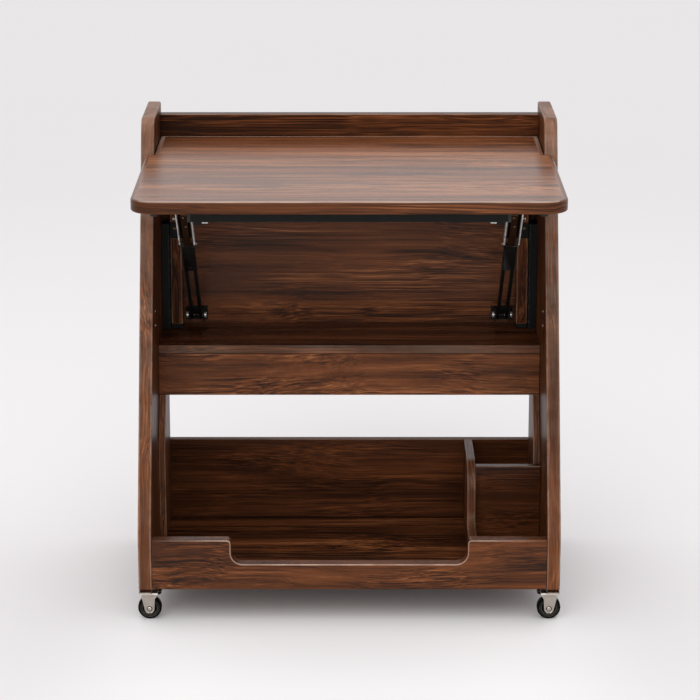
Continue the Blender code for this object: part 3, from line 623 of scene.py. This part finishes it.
ANGLE_SHEET = 0.002
walnut_upright = walnut_board("walnut_upright", "Z", (0.31, 0.12, 0.07), sheen=1.15)
screw_brass = plated_steel("screw_brass", (0.20, 0.135, 0.075), 0.34)
for side, sign in (("left", -1), ("right", 1)):
    for node, finish, slot, corner in (
        ("lift_post", walnut_upright, "walnut", 0.0018), ("post_cleat", walnut_upright, "walnut", 0.0018),
        ("post_foot", black_coat, "black_steel", 0.0012),
    ):
        low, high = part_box(f"{side}_{node}")
        shape = eased_bar(squared(low.x, low.y, high.x, high.y, corner), low.z, high.z, 0.0005)
        fitted(f"{side}_{node}_piece", shape, finish, slot, "top", f"{side}_{node}")
    low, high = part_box(f"{side}_post_bracket")
    behind = low.y + ANGLE_SHEET
    above = low.z + ANGLE_SHEET
    shape = eased_bar([
        (low.y, low.z, 0.0018), (high.y, low.z, 0.0005), (high.y, above, 0.0005),
        (behind, above, 0.0008), (behind, high.z, 0.0005), (low.y, high.z, 0.0005),
    ], low.x, high.x, 0.0003)
    shape = laid(shape, LYING["X"])
    fitted(f"{side}_post_angle", shape, black_coat, "black_steel", "top", f"{side}_post_bracket")
    place = ((low.x + high.x) / 2 + sign * 0.002, low.y + 0.0001, low.z + 0.0145)
    head = laid(screw_head(0.0022, 0.0011, 2), facing((0, -1, 0)), place)
    fitted(f"{side}_angle_screw", head, screw_brass, "bright_steel", "top")

# Telescoping stays
# A black fork of two rods swings on a clevis screwed to the compartment back, and its bar slides in a
# bright zinc channel that hangs from a bracket under the desktop. Rivets and pins are bright steel.


def spun(corners, looped=False):
    """A profile of (radius, place along the axis, rounding) turned once about w.

    The first and last corner lie on the axis and only aim the flat ends, unless the profile is looped.
    """
    profile = eased_outline(corners, [0.0])[0]
    profile = profile if looped else profile[CORNER_POINTS:-CORNER_POINTS]
    angle = np.linspace(0, 2 * np.pi, 56, endpoint=False)
    radius, rise = profile[:, :1], profile[:, 1:]
    rings = np.stack([radius * np.cos(angle), radius * np.sin(angle), rise + 0 * angle], axis=-1)
    wear_and_highlight = corner_wear_and_highlight(len(corners))
    wear_and_highlight = wear_and_highlight if looped else wear_and_highlight[CORNER_POINTS:-CORNER_POINTS]
    return skin(rings, wear_and_highlight[:, None], looped)


def headed_pin(radius, head_radius, inner, outer):
    """A turned pin with a rounded head at both ends."""
    return spun([
        (0.0, -outer, 0.0001), (head_radius, -outer, 0.0007), (head_radius, -inner, 0.0002),
        (radius, -inner, 0.0001), (radius, inner, 0.0001), (head_radius, inner, 0.0002),
        (head_radius, outer, 0.0007), (0.0, outer, 0.0001),
    ])


def mirrored(right_half):
    """Half an outline of (u, v, rounding) and its mirror image in u = 0, in one round."""
    return right_half + [(-u, v, rounding) for u, v, rounding in reversed(right_half)]


BRACKET_SHEET = 0.002


def eared_bracket(half, low, high, inner):
    """Outline of a folded bracket: flanges of a given half width at v = high and two ears down to v = low."""
    outer = inner + BRACKET_SHEET
    under = high - BRACKET_SHEET
    return mirrored([
        (half, high, 0.0004), (half, under, 0.0006), (outer, under, 0.0006),
        (outer, low, 0.0006), (inner, low, 0.0006), (inner, under, 0.0008),
    ])[::-1]


burnished = plated_steel("burnished_bar", (0.11, 0.062, 0.036), 0.34)
rolled_zinc, place = finish_of("rolled_zinc")
edge = place.node("ShaderNodeAttribute", {"attribute_name": "worn_and_lit_edge"}, {}, "Fac")
tarnish = place.noise((90.0, 90.0, 90.0), 4.0, 0.6)
# The marked lips get a pale near-white colour, zinc partly brightened into a painted highlight; everywhere
# else the colour is near black, painted shade inside the channel under the desktop.
bright = edge.between(0.05, 0.5) * (tarnish.between(0.3, 0.6) * 0.35 + 0.65)
painted_hollow_shade = tarnish.mixed((0.020, 0.017, 0.014, 1.0), (0.060, 0.050, 0.042, 1.0))
bright.mixed(painted_hollow_shade, (0.90, 0.88, 0.85, 1.0)).into("Base Color")
(0.7 - bright * 0.55).into("Metallic")
(tarnish * 0.2 - bright * 0.06 + 0.26).into("Roughness")
place.noise((500.0, 500.0, 2600.0), 3.0, 0.6).raises(0.00003, 0.4)
FOOT_PIVOT = np.array([0.2196, 0.2070, 0.3465])
HEAD_PIVOT = np.array([0.2196, -0.0830, 0.5780])
reach = HEAD_PIVOT - FOOT_PIVOT
STAY_LENGTH = np.linalg.norm(reach)
reach /= STAY_LENGTH
stay_turn = np.stack([np.array([1.0, 0, 0]), reach, np.cross((1.0, 0, 0), reach)], axis=1)
ROD = 0.0048
ROD_RISE = 0.0035
ROD_END = 0.157
BLOCK_END = 0.234
FORK_HALF = 0.0086
CHANNEL_HALF = 0.011
FORK_TAIL = -0.007
BAR_SHORT_BY = 0.041
CHANNEL_TAIL = -0.008
CHANNEL_LENGTH = 0.127
CHANNEL_RISE = 0.006
CHANNEL_LIP = 0.002
BRIGHT_LIP = 0.0022
SHEET = 0.0015
BLOCK_PLAY = 0.0005
BAR_PLAY = 0.005
EAR_PLAY = 0.0004
PIN_RADIUS = 0.0024
PIN_HEAD_RADIUS = 0.0042
PIN_HEAD = 0.0032
for side, sign in (("left", -1), ("right", 1)):
    foot = FOOT_PIVOT * (sign, 1, 1)
    head = HEAD_PIVOT * (sign, 1, 1)
    gap = FORK_HALF - ROD
    block_half = CHANNEL_HALF - SHEET - BLOCK_PLAY
    bar_half = CHANNEL_HALF - SHEET - BAR_PLAY
    fork = mirrored([
        (block_half, BLOCK_END, 0.0035), (block_half, ROD_END, 0.001), (FORK_HALF, ROD_END, 0.0002),
        (FORK_HALF, FORK_TAIL, 0.0022), (gap, FORK_TAIL, 0.0022), (gap, ROD_END, 0.0015),
    ])
    fork = eased_bar(fork[::-1], -ROD_RISE, ROD_RISE, 0.0008)
    bolts = [
        laid(screw_head(0.0028, 0.0008, 2), LYING["Z"], (0.0005 * way, place, ROD_RISE))
        for way, place in ((-1, ROD_END + 0.009), (1, BLOCK_END - 0.010))
    ]
    fork = laid(together(fork, *bolts), stay_turn, foot)
    fitted(f"{side}_fork_rods", fork, black_coat, "black_steel", f"{side}_fork", f"{side}_stay_fork")
    bar_end = STAY_LENGTH - BAR_SHORT_BY
    bar = eased_bar([
        (-bar_half, BLOCK_END, 0.0004), (bar_half, BLOCK_END, 0.0004),
        (bar_half, bar_end, 0.0015), (-bar_half, bar_end, 0.0015),
    ], -ROD_RISE, ROD_RISE, 0.0006)
    fitted(f"{side}_fork_bar", laid(bar, stay_turn, foot), burnished, "black_steel", f"{side}_fork")
    studs = [
        laid(screw_head(0.0018, 0.0008, 1), LYING["Z"], (0.0012 * way, place, ROD_RISE))
        for way, place in ((-1, bar_end - 0.007), (1, bar_end - 0.034))
    ]
    studs = laid(together(*studs), stay_turn, foot)
    fitted(f"{side}_bar_studs", studs, screw_brass, "bright_steel", f"{side}_fork")

    wall = CHANNEL_HALF - SHEET
    lip = wall - CHANNEL_LIP
    inner_rise = CHANNEL_RISE - SHEET
    section = mirrored([
        (CHANNEL_HALF, -CHANNEL_RISE, 0.0016), (CHANNEL_HALF, CHANNEL_RISE, 0.0012),
        (lip, CHANNEL_RISE, 0.0004), (lip, inner_rise, 0.0004), (wall, inner_rise, 0.0004),
        (wall, -inner_rise, 0.0008),
    ])
    points, faces = eased_bar(section, CHANNEL_TAIL, CHANNEL_LENGTH, 0.0003)[:2]
    # Only the lips are marked to keep the pale colour; the rest of the channel gets the painted shade.
    bare = np.clip((np.abs(points[:, 0]) - CHANNEL_HALF) / 0.0006 + 2.6, 0, 1)
    bare = bare * (points[:, 1] > CHANNEL_RISE - BRIGHT_LIP)
    channel = laid((points, faces, bare), np.array([[1, 0, 0], [0, 0, -1], [0, 1, 0]], float))
    lugs = [
        eased_bar(squared(near, down, far, up, 0.0008), inner_rise, CHANNEL_RISE, 0.0003)
        for near, far, down, up in (
            (*sorted((sign * 0.0108, sign * 0.0145)), -0.050, -0.046),
            (*sorted((-sign * 0.0108, -sign * 0.0135)), -CHANNEL_LENGTH, 0.004 - CHANNEL_LENGTH),
        )
    ]
    channel = laid(together(channel, *lugs), stay_turn, head)
    fitted(
        f"{side}_channel_sheet", channel, rolled_zinc, "bright_steel", f"{side}_channel",
        f"{side}_stay_channel",
    )

    low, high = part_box(f"{side}_stay_bracket")
    clevis = eared_bracket((high.x - low.x) / 2, low.y, high.y, FORK_HALF + EAR_PLAY)
    clevis = eased_bar(clevis, low.z, high.z, 0.0004)
    clevis = laid(clevis, LYING["Z"], (foot[0], 0, 0))
    fitted(f"{side}_clevis", clevis, black_coat, "black_steel", "frame", f"{side}_stay_bracket")
    low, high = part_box(f"{side}_stay_pin")
    outer = (high.x - low.x) / 2
    pin = headed_pin(PIN_RADIUS, PIN_HEAD_RADIUS, outer - PIN_HEAD, outer)
    pin = laid(pin, facing((1, 0, 0)), foot)
    fitted(f"{side}_clevis_pin", pin, zinc_plate, "bright_steel", "frame", f"{side}_stay_pin")
    half = gap - EAR_PLAY
    sleeve = spun([
        (0.0025, -half, 0.0001), (0.0034, -half, 0.0002), (0.0034, half, 0.0002), (0.0025, half, 0.0001),
    ], looped=True)
    sleeve = laid(sleeve, facing((1, 0, 0)), foot)
    fitted(f"{side}_clevis_sleeve", sleeve, black_coat, "black_steel", "frame")

    low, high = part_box(f"{side}_stay_hanger")
    hanger = eared_bracket((high.x - low.x) / 2, low.z, high.z, CHANNEL_HALF + EAR_PLAY)
    hanger = eased_bar(hanger, low.y, high.y, 0.0004)
    hanger = laid(hanger, LYING["Y"], (head[0], 0, 0))
    fitted(f"{side}_hanger", hanger, zinc_plate, "bright_steel", "top", f"{side}_stay_hanger")
    low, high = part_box(f"{side}_hanger_pin")
    outer = (high.x - low.x) / 2
    pin = headed_pin(PIN_RADIUS, PIN_HEAD_RADIUS, outer - PIN_HEAD, outer)
    pin = laid(pin, facing((1, 0, 0)), head)
    fitted(f"{side}_hanger_bolt", pin, burnished, "bright_steel", "top", f"{side}_hanger_pin")

# Stiffener and bumpers
# A black steel angle is screwed under the front of the desktop to keep it flat, and two rubber pads
# near the front corners take the knock when the top comes down.

CAP_SHELL = 0.0003
CAP_WALL = 0.0026
low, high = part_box("stiffener_bar")
behind = low.y + ANGLE_SHEET
under = high.z - ANGLE_SHEET
shape = eased_bar([
    (low.y, low.z, 0.0005), (behind, low.z, 0.0005), (behind, under, 0.001),
    (high.y, under, 0.0005), (high.y, high.z, 0.0005), (low.y, high.z, 0.002),
], low.x, high.x, 0.0003)
fitted("stiffener_angle", laid(shape, LYING["X"]), black_coat, "black_steel", "top", "stiffener_bar")

end_cap = coated_steel("end_cap_grey", (0.045, 0.047, 0.045), 0.45)
for side, sign in (("left", -1), ("right", 1)):
    end = sign * high.x
    cap = eased_bar([
        (low.y - CAP_SHELL, low.z - CAP_SHELL, 0.0006), (low.y + CAP_WALL, low.z - CAP_SHELL, 0.0006),
        (low.y + CAP_WALL, high.z - CAP_WALL, 0.001), (high.y, high.z - CAP_WALL, 0.0006),
        (high.y, high.z, 0.0006), (low.y - CAP_SHELL, high.z, 0.002),
    ], *sorted((end - sign * 0.0035, end + sign * 0.0006)), 0.0004)
    fitted(f"{side}_stiffener_cap", laid(cap, LYING["X"]), end_cap, "black_steel", "top")
    clip = squared(behind, low.z - 0.0042, low.y + 0.0032, low.z + 0.008, 0.0004)
    clip = eased_bar(clip, *sorted((sign * 0.1876, sign * 0.1978)), 0.0003)
    fitted(f"{side}_stiffener_clip", laid(clip, LYING["X"]), black_coat, "black_steel", "top")
    tongue = squared(low.y + 0.0021, low.z - 0.0022, low.y + 0.0060, low.z - 0.0008, 0.0003)
    tongue = eased_bar(tongue, *sorted((sign * 0.1800, sign * 0.1880)), 0.0003)
    fitted(f"{side}_clip_tongue", laid(tongue, LYING["X"]), zinc_plate, "bright_steel", "top")

rubber, place = finish_of("bumper_rubber_matt", IOR=1.4)
bloom = place.noise((300.0, 300.0, 300.0), 4.0, 0.6)
bloom.between(0.35, 0.8).mixed((0.010, 0.010, 0.0105, 1.0), (0.026, 0.025, 0.024, 1.0)).into("Base Color")
(bloom * 0.2 + 0.6).into("Roughness")
bloom.raises(0.0001, 0.4)
for side in ("left", "right"):
    low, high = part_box(f"{side}_bumper")
    radius = (high.x - low.x) / 2
    height = high.z - low.z
    pad = spun([
        (0, 0, 0.0001), (radius * 0.9, 0, 0.0008), (radius, height * 0.6, 0.0006), (radius, height, 0.0002),
        (0, height, 0.0001),
    ])
    pad = laid(pad, LYING["Z"], ((low.x + high.x) / 2, (low.y + high.y) / 2, low.z))
    fitted(f"{side}_bumper_pad", pad, rubber, "bumper_rubber", "top", f"{side}_bumper")

# Casters
# A pressed nickel-plated fork turns on a race under each panel and holds a black plastic wheel on a
# slotted bolt. The front pair have a small black brake pedal on the inner edge of the fork.

nickel = plated_steel("nickel_plate", (0.46, 0.415, 0.365), 0.20)
wheel_plastic, place = finish_of("wheel_plastic", IOR=1.10)
grit = place.noise((400.0, 400.0, 400.0), 4.0, 0.6)
edge = place.node("ShaderNodeAttribute", {"attribute_name": "worn_and_lit_edge"}, {}, "Fac")
# Marked edges go pale grey: dust, and painted highlight on the wheel's ring edges and the pedal's arrises.
dust_and_highlight = edge * (grit.between(0.4, 0.65) * 0.5 + 0.4)
dust_and_highlight.mixed((0.0024, 0.0024, 0.0022, 1.0), (0.20, 0.185, 0.16, 1.0)).into("Base Color")
(grit * 0.15 + dust_and_highlight * 0.25 + 0.30).into("Roughness")
grit.raises(0.00005, 0.4)

WHEEL_RADIUS = 0.016
CROWN_HALF = 0.011
BEND_RADIUS = 0.0022
PRESSED_DEPTH = 0.0009
FORK_SHEET = 0.0014
for row in ("front", "rear"):
    for side, sign in (("left", -1), ("right", 1)):
        name = f"{row}_{side}"
        low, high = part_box(f"{name}_caster_wheel")
        axle = np.array([(low.x + high.x) / 2, (low.y + high.y) / 2, WHEEL_RADIUS])
        rim = (high.y - low.y) / 2
        face = [
            (0.0021, rim, 0.0003), (0.0046, rim, 0.0005), (0.0050, rim - 0.0016, 0.0004),
            (0.0098, rim - 0.0016, 0.0004), (0.0104, rim - 0.0004, 0.0003), (0.0117, rim - 0.0004, 0.0003),
            (0.0121, rim - 0.0010, 0.0002), (0.0128, rim - 0.0010, 0.0002), (0.0132, rim, 0.0005),
            (WHEEL_RADIUS, rim, 0.0030),
        ]
        points, faces = spun([(r, -w, t) for r, w, t in face] + face[::-1], looped=True)[:2]
        ring = np.hypot(points[:, 0], points[:, 1])
        # The two ring edges on each face are marked: dust and painted highlight.
        ring_dust_and_highlight = 0.6 * ((np.abs(ring - 0.0103) < 0.0007) | (np.abs(ring - 0.0128) < 0.0006))
        wheel = laid((points, faces, ring_dust_and_highlight), facing((0, 1, 0)), axle)
        fitted(
            f"{name}_wheel_tyre", wheel, wheel_plastic, "wheel_black", f"{name}_wheel",
            f"{name}_caster_wheel",
        )

        low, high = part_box(f"{name}_caster_axle")
        outer = axle[1] - low.y
        washer = headed_pin(0.0019, 0.0038, outer - 0.0014, outer - 0.0009)
        washer = laid(washer, facing((0, 1, 0)), axle)
        fitted(
            f"{name}_wheel_axle", washer, black_coat, "black_steel", f"{name}_swivel",
            f"{name}_caster_axle",
        )
        heads = [
            laid(screw_head(0.0028, 0.0009, 1), facing((0, way, 0)), axle + (0, way * (outer - 0.0009), 0))
            for way in (-1, 1)
        ]
        fitted(f"{name}_wheel_bolt", together(*heads), nickel, "nickel", f"{name}_swivel")

        low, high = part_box(f"{name}_caster_fork")
        top = high.z
        out = axle[1] - low.y
        bend = np.linspace(0, np.pi / 2, 7)
        foot = axle[2] - 0.0065 * np.sin(np.linspace(1.45, 0, 8))
        leg = np.concatenate([foot, np.linspace(axle[2] + 0.001, top - BEND_RADIUS, 12)[:-1]])
        path_y = np.concatenate([np.full(len(leg), out), out - BEND_RADIUS + BEND_RADIUS * np.cos(bend)])
        path_z = np.concatenate([leg, top - BEND_RADIUS + BEND_RADIUS * np.sin(bend)])
        normal_y = np.concatenate([np.ones(len(leg)), np.cos(bend)])
        normal_z = np.concatenate([np.zeros(len(leg)), np.sin(bend)])
        path_y = np.concatenate([-path_y, path_y[::-1]])
        path_z = np.concatenate([path_z, path_z[::-1]])
        normal_y = np.concatenate([-normal_y, normal_y[::-1]])
        normal_z = np.concatenate([normal_z, normal_z[::-1]])
        below = top - path_z
        end_round = np.sqrt(np.clip(1 - np.clip((axle[2] - path_z) / 0.0066, 0, 1) ** 2, 0, 1))
        outside = np.interp(below, [0, 0.004, 0.0222, 0.03], [CROWN_HALF, CROWN_HALF, 0.0066, 0.0062])
        inside = np.interp(below, [0, 0.003, 0.008, 0.03], [CROWN_HALF, CROWN_HALF, 0.0072, 0.0062])
        span = np.linspace(-1, 1, 27)
        outwards = np.minimum(span, 0) * (outside * end_round)[:, None]
        inwards = np.maximum(span, 0) * (inside * end_round)[:, None]
        offset = outwards + inwards
        middle_of_leg = 1 - np.clip((np.abs(span) - 0.62) / 0.22, 0, 1)
        pressed = PRESSED_DEPTH * middle_of_leg * np.clip((below[:, None] - 0.002) / 0.003, 0, 1)
        rings = np.stack([
            axle[0] - sign * offset,
            axle[1] + path_y[:, None] - normal_y[:, None] * pressed,
            path_z[:, None] - normal_z[:, None] * pressed,
        ], axis=-1)
        count, width = rings.shape[:2]
        number = np.arange(count * width).reshape(count, width)
        quads = np.stack([number[:-1, :-1], number[1:, :-1], number[1:, 1:], number[:-1, 1:]], axis=-1)
        quads = quads.reshape(-1, 4)
        quads = quads if sign < 0 else quads[:, ::-1]
        wear_and_highlight = np.broadcast_to(np.clip((np.abs(span) - 0.8) / 0.2, 0, 1), (count, width)).reshape(-1)
        fork = fitted(
            f"{name}_fork_pressing", (rings.reshape(-1, 3), quads.tolist(), wear_and_highlight), nickel, "nickel",
            f"{name}_swivel", f"{name}_caster_fork",
        )
        sheet = fork.modifiers.new("sheet", "SOLIDIFY")
        sheet.thickness = FORK_SHEET
        sheet.offset = -1
        soft = fork.modifiers.new("soft_edge", "BEVEL")
        soft.width = 0.0003
        soft.segments = 2
        soft.limit_method = "ANGLE"
        soft.angle_limit = np.radians(50)

        low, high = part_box(f"{name}_caster_plate")
        middle = np.array([(low.x + high.x) / 2, (low.y + high.y) / 2, 0])
        half_x = (high.x - low.x) / 2
        half_y = (high.y - low.y) / 2
        plate = squared(-half_x, -half_y, half_x, half_y, 0.003)
        plate = eased_bar(plate, high.z - 0.002, high.z, 0.0004)
        race = spun([
            (0, low.z, 0.0001), (0.0078, low.z, 0.0004), (0.0085, low.z + 0.0008, 0.0004),
            (0.0085, high.z - 0.0018, 0.0001), (0, high.z - 0.0018, 0.0001),
        ])
        shape = together(laid(plate, LYING["Z"], middle), laid(race, LYING["Z"], middle))
        fitted(f"{name}_swivel_plate", shape, nickel, "nickel", "frame", f"{name}_caster_plate")

        if row == "front":
            low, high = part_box(f"{name}_brake_pedal")
            near, far = (high.x, low.x) if sign > 0 else (low.x, high.x)
            wedge = [
                (near, low.z, 0.0006), (near, high.z, 0.0008), (far, high.z, 0.0012),
                (far, low.z + 0.002, 0.0008),
            ]
            wedge = wedge if sign > 0 else wedge[::-1]
            shape = laid(eased_bar(wedge, low.y, high.y, 0.0005), LYING["Y"])
            fitted(
                f"{name}_pedal", shape, wheel_plastic, "wheel_black", f"{name}_pedal",
                f"{name}_brake_pedal",
            )

# Studio
# A large pale floor sweeps back out of sight, a broad lamp stands in front and above, and a plain
# pale surround fills the rest. The floor is painted paler near the desk, a painted pool of light, and
# glows faintly just in front of it, painted light. The camera looks a little down on the desk from the front.

paper, place = finish_of("paper_floor", Roughness=0.85, IOR=1.2, Emission_Strength=1.0)
distance = place.node("ShaderNodeVectorMath", {"operation": "LENGTH"}, {0: place}, "Value")
mottle = place.noise((1.2, 1.2, 1.2), 2.0, 0.5) * 0.06
# Paler within about 3 m of the desk: a painted pool of light.
pale = (1 - distance.between(0.3, 3.2)) + mottle
shown = pale.mixed((0.735, 0.720, 0.728, 1.0), (0.86, 0.843, 0.852, 1.0))
shown = distance.between(6.5, 15.0).mixed(shown, (0.84, 0.826, 0.833, 1.0))
camera_ray = place.node("ShaderNodeLightPath", {}, {}, "Is Camera Ray")
glossy_ray = place.node("ShaderNodeLightPath", {}, {}, "Is Glossy Ray")
clear_ray = place.node("ShaderNodeLightPath", {}, {}, "Is Transmission Ray")
looked_at = place.math("MAXIMUM", camera_ray, place.math("MAXIMUM", glossy_ray, clear_ray))
looked_at.mixed((0.50, 0.487, 0.49, 1.0), shown).into("Base Color")
across = place.math("ABSOLUTE", place.node("ShaderNodeSeparateXYZ", {}, {0: place}, 0))
depth = place.node("ShaderNodeSeparateXYZ", {}, {0: place}, 1)
# In front of the desk the floor glows faintly for camera and reflected rays: painted light.
before = (1 - depth.between(-0.19, -0.05)) * depth.between(-0.62, -0.34)
painted_glow = looked_at * before * (1 - across.between(0.18, 0.46)) * 0.16
painted_glow.mixed((0.0, 0.0, 0.0, 1.0), (1.0, 0.99, 0.995, 1.0)).into("Emission Color")
span = np.array([-20.0, 20.0])
corner_x, corner_y = np.meshgrid(span, span, indexing="ij")
mesh = bpy.data.meshes.new("studio_floor")
points = np.stack([corner_x, corner_y, 0 * corner_x], axis=-1).reshape(-1, 3)
mesh.from_pydata(points.tolist(), [], [[0, 2, 3, 1]])
mesh.materials.append(paper)
floor = bpy.data.objects.new("studio_floor", mesh)
bpy.context.scene.collection.objects.link(floor)

lamp = bpy.data.objects.new("broad_lamp", bpy.data.lights.new("broad_lamp", "SUN"))
lamp.data.energy = 1.15
lamp.data.angle = np.radians(60)
lamp.rotation_euler = (np.radians(68), 0, np.radians(-8))
bpy.context.scene.collection.objects.link(lamp)

world = bpy.data.worlds.new("pale_surround")
bpy.context.scene.world = world
world.use_nodes = True
surround = world.node_tree
rays = Signal(surround, surround.nodes.new("ShaderNodeLightPath").outputs["Is Camera Ray"])
glossy = rays.node("ShaderNodeLightPath", {}, {}, "Is Glossy Ray")
clear = rays.node("ShaderNodeLightPath", {}, {}, "Is Transmission Ray")
seen = rays.math("MAXIMUM", rays, rays.math("MAXIMUM", glossy, clear))
way = rays.node("ShaderNodeTexCoord", {}, {}, "Generated")
upward = rays.math("MAXIMUM", rays.node("ShaderNodeSeparateXYZ", {}, {0: way}, 2), 0.0)
soft_top = upward ** 2.0 * 1.05 + 0.45
level = seen * 0.92 + (1 - seen) * soft_top
surround.nodes["Background"].inputs["Color"].default_value = (1.0, 0.99, 0.995, 1.0)
surround.links.new(level.socket, surround.nodes["Background"].inputs["Strength"])

SENSOR = 36.0
FOCAL_PIXELS = 2704
PICTURE_PIXELS = 700
camera = bpy.data.objects.new("front_camera", bpy.data.cameras.new("front_camera"))
camera.data.sensor_width = SENSOR
camera.data.lens = FOCAL_PIXELS / PICTURE_PIXELS * SENSOR
camera.data.clip_end = 100.0
camera.location = (0.001, -3.555, 1.327)
camera.rotation_euler = (np.radians(74.64), 0.0, 0.0)
bpy.context.scene.collection.objects.link(camera)
bpy.context.scene.camera = camera
bpy.context.scene.view_settings.view_transform = "Standard"
